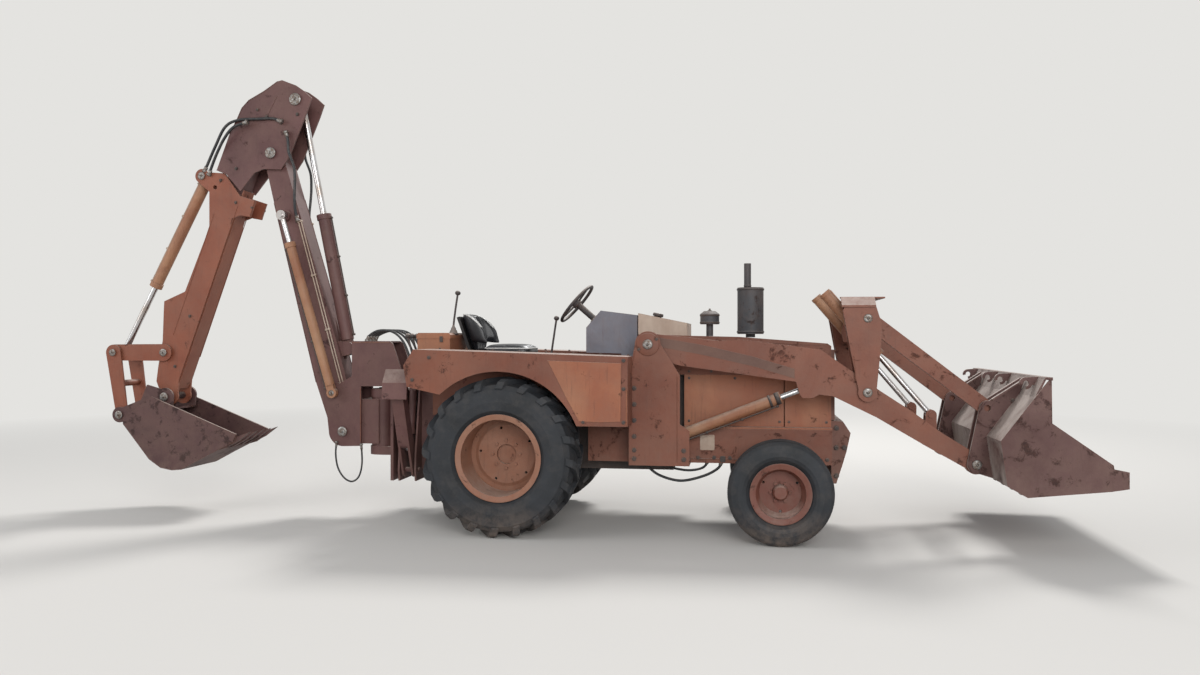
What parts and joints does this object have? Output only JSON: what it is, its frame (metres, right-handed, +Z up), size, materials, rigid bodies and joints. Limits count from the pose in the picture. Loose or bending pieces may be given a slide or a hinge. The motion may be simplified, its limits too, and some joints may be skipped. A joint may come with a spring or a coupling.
{
  "type": "backhoe loader",
  "caption": "Open-station tractor with a front loader bucket, a swinging rear digger arm that telescopes, and fold-down stabiliser legs.",
  "frame": {"origin": "middle of the whole machine seen from above, on the ground", "axes": "+X towards the loader bucket, +Y to the driver's left, +Z up"},
  "size_m": [8.647, 2.16, 3.958],
  "materials": {
    "rust_orange": "faded matte paint over rust",
    "panel_orange": "faded satin paint",
    "sleeve_orange": "faded satin paint",
    "maroon": "dull oxidised paint",
    "dark_iron": "oily cast iron",
    "weight": "painted cast iron",
    "grey_sheet": "dusty grey paint",
    "pale_sheet": "sun-bleached paint",
    "soot": "heat-darkened steel",
    "seat_shell": "matte",
    "seat_pad": "worn vinyl",
    "control": "worn black paint",
    "rear_rim": "dusty faded paint",
    "front_rim": "rusted red paint",
    "tyre": "dusty tyre rubber",
    "rod": "polished",
    "barrel": "faded satin paint",
    "bucket_steel": "rusted worn paint",
    "hoe_steel": "dark rusted steel"
  },
  "bodies": {
    "machine": {"chassis": "rust_orange", "drivetrain": "dark_iron", "engine_block": "dark_iron", "hood": "rust_orange", "side_panels": "panel_orange", "nose_weight": "weight", "cowl": "grey_sheet", "hood_tank": "pale_sheet", "deck": "maroon", "fenders": "rust_orange", "side_tanks": "rust_orange", "rear_box": "panel_orange", "seat_base": "seat_shell", "seat_pads": "seat_pad", "steering_post": "control", "exhaust": "soot", "air_cleaner": "soot", "front_axle": "maroon", "rear_frame": "maroon", "hoe_levers": "control"},
    "rear_wheel_left": {"rear_rim_left": "rear_rim", "rear_tyre_left": "tyre"},
    "front_wheel_left": {"front_rim_left": "front_rim", "front_tyre_left": "tyre"},
    "knuckle_left": {"knuckle_left": "maroon"},
    "rear_wheel_right": {"rear_rim_right": "rear_rim", "rear_tyre_right": "tyre"},
    "front_wheel_right": {"front_rim_right": "front_rim", "front_tyre_right": "tyre"},
    "knuckle_right": {"knuckle_right": "maroon"},
    "tie_rod": {"tie_rod": "control"},
    "loader_arms": {"loader_arms": "rust_orange"},
    "lift_barrels": {"lift_barrels": "barrel"},
    "lift_rods": {"lift_rods": "rod"},
    "rockers": {"rockers": "rust_orange"},
    "tilt_barrels": {"tilt_barrels": "barrel"},
    "tilt_rods": {"tilt_rods": "rod"},
    "bucket_links": {"bucket_links": "rust_orange"},
    "loader_bucket": {"loader_bucket": "bucket_steel"},
    "swing_tower": {"swing_tower": "maroon"},
    "boom": {"boom": "maroon"},
    "boom_barrels": {"boom_barrels": "barrel"},
    "boom_rods": {"boom_rods": "rod"},
    "crowd_barrel": {"crowd_barrel": "maroon"},
    "crowd_rod": {"crowd_rod": "rod"},
    "dipper": {"dipper": "maroon"},
    "dipper_sleeve": {"dipper_sleeve": "sleeve_orange"},
    "curl_barrel": {"curl_barrel": "barrel"},
    "curl_rod": {"curl_rod": "rod"},
    "guide_link": {"guide_link": "sleeve_orange"},
    "hoe_link": {"hoe_link": "sleeve_orange"},
    "hoe_bucket": {"hoe_bucket": "hoe_steel"},
    "stabiliser_left": {"stabiliser_left": "maroon"},
    "stabiliser_right": {"stabiliser_right": "maroon"},
    "stab_barrel_left": {"stab_barrel_left": "maroon"},
    "stab_barrel_right": {"stab_barrel_right": "maroon"},
    "stab_rod_left": {"stab_rod_left": "rod"},
    "stab_rod_right": {"stab_rod_right": "rod"}
  },
  "joints": [
    {"name": "rear_wheel_left_turn", "type": "hinge", "parent": "machine", "child": "rear_wheel_left", "pos_m": [-0.3195, 0.802, 0.64], "axis": [0, 1, 0], "continuous": true},
    {"name": "rear_wheel_right_turn", "type": "hinge", "parent": "machine", "child": "rear_wheel_right", "pos_m": [-0.3195, -0.802, 0.64], "axis": [0, 1, 0], "continuous": true},
    {"name": "steer", "type": "hinge", "parent": "machine", "child": "knuckle_left", "pos_m": [1.8905, 0.6, 0.405], "axis": [0, 0, 1], "range_deg": [-35, 35]},
    {"name": "steer_right", "type": "hinge", "parent": "machine", "child": "knuckle_right", "pos_m": [1.8905, -0.6, 0.405], "axis": [0, 0, 1], "range_deg": [-35.3, 35.3]},
    {"name": "tie_rod_slide", "type": "slide", "parent": "machine", "child": "tie_rod", "axis": [0, -1, 0], "range_m": [-0.0936, 0.0936]},
    {"name": "front_wheel_left_turn", "type": "hinge", "parent": "knuckle_left", "child": "front_wheel_left", "pos_m": [1.8905, 0.856, 0.405], "axis": [0, 1, 0], "continuous": true},
    {"name": "front_wheel_right_turn", "type": "hinge", "parent": "knuckle_right", "child": "front_wheel_right", "pos_m": [1.8905, -0.856, 0.405], "axis": [0, 1, 0], "continuous": true},
    {"name": "loader_lift", "type": "hinge", "parent": "machine", "child": "loader_arms", "pos_m": [0.8455, 0, 1.545], "axis": [0, -1, 0], "range_deg": [-8, 70]},
    {"name": "lift_barrel_turn", "type": "hinge", "parent": "machine", "child": "lift_barrels", "pos_m": [1.1245, 0, 0.812], "axis": [0, -1, 0], "range_deg": [-6.59, 55.3]},
    {"name": "lift_rod_slide", "type": "slide", "parent": "lift_barrels", "child": "lift_rods", "axis": [0.9314, 0, 0.364], "range_m": [-0.0988, 0.8491]},
    {"name": "bucket_tilt", "type": "hinge", "parent": "loader_arms", "child": "loader_bucket", "pos_m": [3.3805, 0, 0.623], "axis": [0, -1, 0], "range_deg": [-120, 20]},
    {"name": "rocker_turn", "type": "hinge", "parent": "loader_arms", "child": "rockers", "pos_m": [2.5675, 0, 1.17], "axis": [0, -1, 0], "range_deg": [-84.3, 14.3]},
    {"name": "bucket_link_turn", "type": "hinge", "parent": "rockers", "child": "bucket_links", "pos_m": [2.5705, 0, 1.75], "axis": [0, -1, 0], "range_deg": [-11.3, 66.3]},
    {"name": "tilt_barrel_turn", "type": "hinge", "parent": "rockers", "child": "tilt_barrels", "pos_m": [2.5505, 0, 1.614], "axis": [0, -1, 0], "range_deg": [-9.3, 54.3]},
    {"name": "tilt_rod_slide", "type": "slide", "parent": "tilt_barrels", "child": "tilt_rods", "axis": [0.645, 0, -0.7642], "range_m": [-0.5465, 0.0928]},
    {"name": "swing", "type": "hinge", "parent": "machine", "child": "swing_tower", "pos_m": [-1.6495, 0, 0.8], "axis": [0, 0, 1], "range_deg": [-90, 90]},
    {"name": "boom_lower", "type": "hinge", "parent": "swing_tower", "child": "boom", "pos_m": [-1.9795, 0, 0.75], "axis": [0, -1, 0], "range_deg": [0, 95]},
    {"name": "boom_barrel_turn", "type": "hinge", "parent": "swing_tower", "child": "boom_barrels", "pos_m": [-2.0595, 0, 1.1], "axis": [0, -1, 0], "range_deg": [-0.3, 106.22]},
    {"name": "boom_rod_slide", "type": "slide", "parent": "boom_barrels", "child": "boom_rods", "axis": [-0.2879, 0, 0.9576], "range_m": [-0.002, 0.3834]},
    {"name": "dipper_swing", "type": "hinge", "parent": "boom", "child": "dipper", "pos_m": [-2.6775, 0, 3.293], "axis": [0, -1, 0], "range_deg": [-105, 0]},
    {"name": "crowd_barrel_turn", "type": "hinge", "parent": "boom", "child": "crowd_barrel", "pos_m": [-1.9795, 0, 1.5], "axis": [0, -1, 0], "range_deg": [-5.08, 0.3]},
    {"name": "crowd_rod_slide", "type": "slide", "parent": "crowd_barrel", "child": "crowd_rod", "axis": [-0.198, 0, 0.9802], "range_m": [-0.8248, 0.002]},
    {"name": "dipper_extend", "type": "slide", "parent": "dipper", "child": "dipper_sleeve", "axis": [-0.342, 0, -0.9397], "range_m": [0, 1.07]},
    {"name": "hoe_bucket_curl", "type": "hinge", "parent": "dipper_sleeve", "child": "hoe_bucket", "pos_m": [-3.6995, 0, 1.05], "axis": [0, -1, 0], "range_deg": [-60, 25]},
    {"name": "guide_link_turn", "type": "hinge", "parent": "dipper_sleeve", "child": "guide_link", "pos_m": [-3.7495, 0, 1.46], "axis": [0, -1, 0], "range_deg": [-64.5, 27.05]},
    {"name": "hoe_link_turn", "type": "hinge", "parent": "guide_link", "child": "hoe_link", "pos_m": [-4.2475, 0, 1.459], "axis": [0, -1, 0], "range_deg": [-19.05, 45.3]},
    {"name": "curl_barrel_turn", "type": "hinge", "parent": "dipper_sleeve", "child": "curl_barrel", "pos_m": [-3.3795, 0, 3.105], "axis": [0, -1, 0], "range_deg": [-3.3, 1.55]},
    {"name": "curl_rod_slide", "type": "slide", "parent": "curl_barrel", "child": "curl_rod", "axis": [-0.4665, 0, -0.8845], "range_m": [-0.5047, 0.2114]},
    {"name": "stabiliser_left_lower", "type": "hinge", "parent": "machine", "child": "stabiliser_left", "pos_m": [-1.2195, 0.5, 0.47], "axis": [-1, 0, 0], "range_deg": [0, 103]},
    {"name": "stab_barrel_left_turn", "type": "hinge", "parent": "machine", "child": "stab_barrel_left", "pos_m": [-1.2195, 0.4, 1.2], "axis": [-1, 0, 0], "range_deg": [-12.31, 0.3]},
    {"name": "stab_rod_left_slide", "type": "slide", "parent": "stab_barrel_left", "child": "stab_rod_left", "axis": [0, 0.1928, -0.9812], "range_m": [-0.002, 0.2499]},
    {"name": "stabiliser_right_lower", "type": "hinge", "parent": "machine", "child": "stabiliser_right", "pos_m": [-1.2195, -0.5, 0.47], "axis": [1, 0, 0], "range_deg": [0, 103]},
    {"name": "stab_barrel_right_turn", "type": "hinge", "parent": "machine", "child": "stab_barrel_right", "pos_m": [-1.2195, -0.4, 1.2], "axis": [1, 0, 0], "range_deg": [-12.31, 0.3]},
    {"name": "stab_rod_right_slide", "type": "slide", "parent": "stab_barrel_right", "child": "stab_rod_right", "axis": [0, -0.1928, -0.9812], "range_m": [-0.002, 0.2499]}
  ],
  "couplings": [
    {"joint": "steer_right", "follows": "steer", "ratio": 1},
    {"joint": "tie_rod_slide", "follows": "steer", "m_per_rad": 0.15},
    {"joint": "lift_barrel_turn", "follows": "loader_lift", "ratio": 0.7857},
    {"joint": "lift_rod_slide", "follows": "loader_lift", "m_per_rad": 0.6934},
    {"joint": "rocker_turn", "follows": "bucket_tilt", "ratio": 0.7},
    {"joint": "bucket_link_turn", "follows": "bucket_tilt", "ratio": -0.55},
    {"joint": "tilt_barrel_turn", "follows": "bucket_tilt", "ratio": -0.45},
    {"joint": "tilt_rod_slide", "follows": "bucket_tilt", "m_per_rad": 0.26},
    {"joint": "boom_barrel_turn", "follows": "boom_lower", "ratio": 1.1149},
    {"joint": "boom_rod_slide", "follows": "boom_lower", "m_per_rad": 0.23},
    {"joint": "crowd_barrel_turn", "follows": "dipper_swing", "ratio": 0.0455},
    {"joint": "crowd_rod_slide", "follows": "dipper_swing", "m_per_rad": 0.449},
    {"joint": "guide_link_turn", "follows": "hoe_bucket_curl", "ratio": 1.07},
    {"joint": "hoe_link_turn", "follows": "hoe_bucket_curl", "ratio": -0.75},
    {"joint": "curl_barrel_turn", "follows": "hoe_bucket_curl", "ratio": 0.05},
    {"joint": "curl_rod_slide", "follows": "hoe_bucket_curl", "m_per_rad": 0.48},
    {"joint": "stab_barrel_left_turn", "follows": "stabiliser_left_lower", "ratio": -0.1166},
    {"joint": "stab_rod_left_slide", "follows": "stabiliser_left_lower", "m_per_rad": 0.1379},
    {"joint": "stab_barrel_right_turn", "follows": "stabiliser_right_lower", "ratio": -0.1166},
    {"joint": "stab_rod_right_slide", "follows": "stabiliser_right_lower", "m_per_rad": 0.1379}
  ]
}
